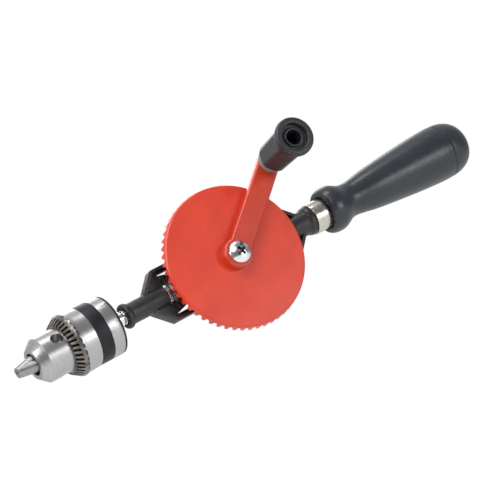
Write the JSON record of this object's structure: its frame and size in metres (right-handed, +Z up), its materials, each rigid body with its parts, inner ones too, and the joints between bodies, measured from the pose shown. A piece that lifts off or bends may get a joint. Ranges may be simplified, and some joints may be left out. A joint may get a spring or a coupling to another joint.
{
  "type": "hand drill",
  "caption": "Hand-cranked drill: three-jaw key chuck on a steel spindle, slim black frame, large toothed red wheel with crank and knob, and a swelling hollow plastic handle.",
  "frame": {"origin": "on the spindle axis at the tips of the closed jaws", "axes": "+X along the spindle from the chuck to the handle's end, -Y out of the toothed wheel's face along the crank axis, +Z up"},
  "size_m": [0.3162, 0.0778, 0.0919],
  "materials": {
    "red_paint": "gloss",
    "black_paint": "satin",
    "turned_steel": "satin turned",
    "dark_steel": "oiled",
    "black_oxide": "satin",
    "zinc": "bright zinc",
    "nickel": "bright nickel",
    "bronze": "oiled",
    "handle_plastic": "semi-gloss",
    "knob_plastic": "semi-gloss",
    "collar_plastic": "matt"
  },
  "bodies": {
    "frame": {"frame_casting": "black_paint", "nose_bush_front": "bronze", "nose_bush_rear": "bronze", "pinion_washer": "zinc", "idler_washer": "zinc", "idler_pin": "dark_steel", "thrust_ball": "turned_steel", "axle_bush": "bronze", "ferrule": "nickel", "handle_grip": "handle_plastic", "tie_rod": "zinc", "tie_washer": "zinc", "tie_nut": "zinc", "gear_washer": "zinc"},
    "spindle": {"spindle": "zinc", "front_pinion": "dark_steel", "pinion_pin": "dark_steel", "chuck_body": "turned_steel", "chuck_rear_plate": "black_oxide"},
    "sleeve": {"chuck_sleeve": "turned_steel", "sleeve_band": "black_oxide", "chuck_nut": "dark_steel"},
    "jaw_a": {"jaw_1": "turned_steel"},
    "jaw_b": {"jaw_2": "turned_steel"},
    "jaw_c": {"jaw_3": "turned_steel"},
    "idler": {"idler_pinion": "dark_steel"},
    "crank": {"main_gear": "red_paint", "crank_arm": "red_paint", "crank_screw": "zinc", "crank_axle": "turned_steel", "axle_washer": "zinc", "axle_circlip": "dark_steel", "knob_pin": "zinc", "knob_collar": "collar_plastic"},
    "knob": {"crank_knob": "knob_plastic"},
    "cap": {"handle_end_cap": "handle_plastic"}
  },
  "joints": [
    {"name": "crank_turn", "type": "hinge", "parent": "frame", "child": "crank", "pos_m": [0.142, 0, 0], "axis": [0, -1, 0], "continuous": true},
    {"name": "spindle_turn", "type": "hinge", "parent": "frame", "child": "spindle", "pos_m": [0.07, 0, 0], "axis": [1, 0, 0], "continuous": true},
    {"name": "idler_turn", "type": "hinge", "parent": "frame", "child": "idler", "pos_m": [0.18, 0, 0], "axis": [1, 0, 0], "continuous": true},
    {"name": "knob_spin", "type": "hinge", "parent": "crank", "child": "knob", "pos_m": [0.1883, -0.03, 0.03816], "axis": [0, -1, 0], "continuous": true},
    {"name": "sleeve_turn", "type": "hinge", "parent": "spindle", "child": "sleeve", "pos_m": [0.045, 0, 0], "axis": [1, 0, 0], "range_deg": [0, 3960]},
    {"name": "jaw_slide_1", "type": "slide", "parent": "spindle", "child": "jaw_a", "axis": [0.9703, -0.2006, -0.1353], "range_m": [0, 0.0165]},
    {"name": "jaw_slide_2", "type": "slide", "parent": "spindle", "child": "jaw_b", "axis": [0.9703, 0.2174, -0.1061], "range_m": [0, 0.0165]},
    {"name": "jaw_slide_3", "type": "slide", "parent": "spindle", "child": "jaw_c", "axis": [0.9703, -0.0169, 0.2413], "range_m": [0, 0.0165]},
    {"name": "cap_pull", "type": "slide", "parent": "frame", "child": "cap", "axis": [1, 0, 0], "range_m": [0, 0.024]}
  ],
  "couplings": [
    {"joint": "spindle_turn", "follows": "crank_turn", "ratio": 4},
    {"joint": "idler_turn", "follows": "crank_turn", "ratio": -4},
    {"joint": "jaw_slide_1", "follows": "sleeve_turn", "m_per_rad": 0.00023873},
    {"joint": "jaw_slide_2", "follows": "sleeve_turn", "m_per_rad": 0.00023873},
    {"joint": "jaw_slide_3", "follows": "sleeve_turn", "m_per_rad": 0.00023873}
  ]
}
